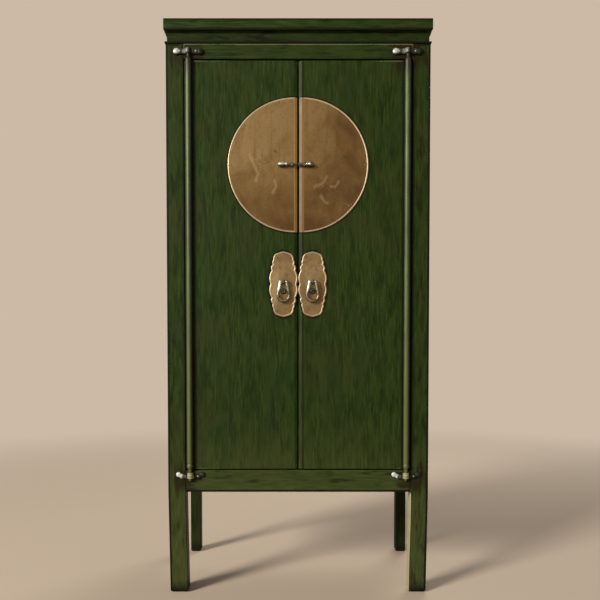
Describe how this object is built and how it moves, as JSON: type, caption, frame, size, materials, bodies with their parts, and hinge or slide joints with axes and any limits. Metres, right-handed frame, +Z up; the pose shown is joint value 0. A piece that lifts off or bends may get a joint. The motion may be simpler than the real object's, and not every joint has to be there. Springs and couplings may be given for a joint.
{
  "type": "wedding cabinet",
  "caption": "Tall lacquered East Asian cabinet on legs, paired doors on round pivot rods, round brass plate, ring pulls and a sliding bolt.",
  "frame": {"origin": "middle of the cabinet's box on the floor", "axes": "+Z up, doors face -Y, +X to the right seen from the front"},
  "size_m": [0.867, 0.5084, 1.868],
  "materials": {
    "green_lacquer": "worn satin lacquer, dark green",
    "bare_wood": "plain oiled boards",
    "aged_brass": "aged, rubbed sheet brass",
    "dark_bronze": "dark patina, bright on rubbed edges"
  },
  "bodies": {
    "carcass": {"back_panel": "bare_wood", "bottom_board": "bare_wood", "bracket_nails": "dark_bronze", "front_bottom_rail": "green_lacquer", "front_left_post": "green_lacquer", "front_right_post": "green_lacquer", "front_top_rail": "green_lacquer", "left_bottom_rail": "green_lacquer", "left_side_panel": "green_lacquer", "left_top_rail": "green_lacquer", "lower_door_stop": "bare_wood", "lower_left_bracket": "dark_bronze", "lower_right_bracket": "dark_bronze", "lower_shelf": "bare_wood", "rear_bottom_rail": "green_lacquer", "rear_left_post": "green_lacquer", "rear_right_post": "green_lacquer", "rear_top_rail": "green_lacquer", "right_bottom_rail": "green_lacquer", "right_side_panel": "green_lacquer", "right_top_rail": "green_lacquer", "shelf_cleats": "bare_wood", "top_front_member": "green_lacquer", "top_left_member": "green_lacquer", "top_panel": "green_lacquer", "top_rear_member": "green_lacquer", "top_right_member": "green_lacquer", "upper_door_stop": "bare_wood", "upper_left_bracket": "dark_bronze", "upper_right_bracket": "dark_bronze", "upper_shelf": "bare_wood", "waist_front": "green_lacquer", "waist_left": "green_lacquer", "waist_rear": "green_lacquer", "waist_right": "green_lacquer"},
    "left_door": {"left_door_battens": "bare_wood", "left_door_board": "green_lacquer", "left_handle_plate": "aged_brass", "left_lock_staple": "dark_bronze", "left_moon_plate": "aged_brass", "left_pivot_rod": "green_lacquer", "left_plate_nails": "aged_brass", "left_pull_boss": "dark_bronze", "left_pull_staple": "dark_bronze", "left_rod_pegs": "bare_wood"},
    "right_door": {"right_door_battens": "bare_wood", "right_door_board": "green_lacquer", "right_handle_plate": "aged_brass", "right_keeper": "dark_bronze", "right_keeper_sleeve": "dark_bronze", "right_lock_staple": "dark_bronze", "right_moon_plate": "aged_brass", "right_pivot_rod": "green_lacquer", "right_plate_nails": "aged_brass", "right_pull_boss": "dark_bronze", "right_pull_staple": "dark_bronze", "right_rod_pegs": "bare_wood"},
    "left_pull": {"left_pull_ring": "dark_bronze"},
    "right_pull": {"right_pull_ring": "dark_bronze"},
    "bolt": {"lock_bolt": "dark_bronze"}
  },
  "joints": [
    {"name": "left_door_swing", "type": "hinge", "parent": "carcass", "child": "left_door", "pos_m": [-0.354, -0.24275, 0.411], "axis": [0, 0, -1], "range_deg": [0, 180]},
    {"name": "left_pull_lift", "type": "hinge", "parent": "left_door", "child": "left_pull", "pos_m": [-0.0475, -0.24725, 1.024], "axis": [-1, 0, 0], "range_deg": [-3, 100]},
    {"name": "right_door_swing", "type": "hinge", "parent": "carcass", "child": "right_door", "pos_m": [0.354, -0.24275, 0.411], "axis": [0, 0, 1], "range_deg": [0, 180]},
    {"name": "right_pull_lift", "type": "hinge", "parent": "right_door", "child": "right_pull", "pos_m": [0.0475, -0.24725, 1.024], "axis": [-1, 0, 0], "range_deg": [-3, 100]},
    {"name": "bolt_slide", "type": "slide", "parent": "left_door", "child": "bolt", "axis": [1, 0, 0], "range_m": [0, 0.0095]}
  ]
}
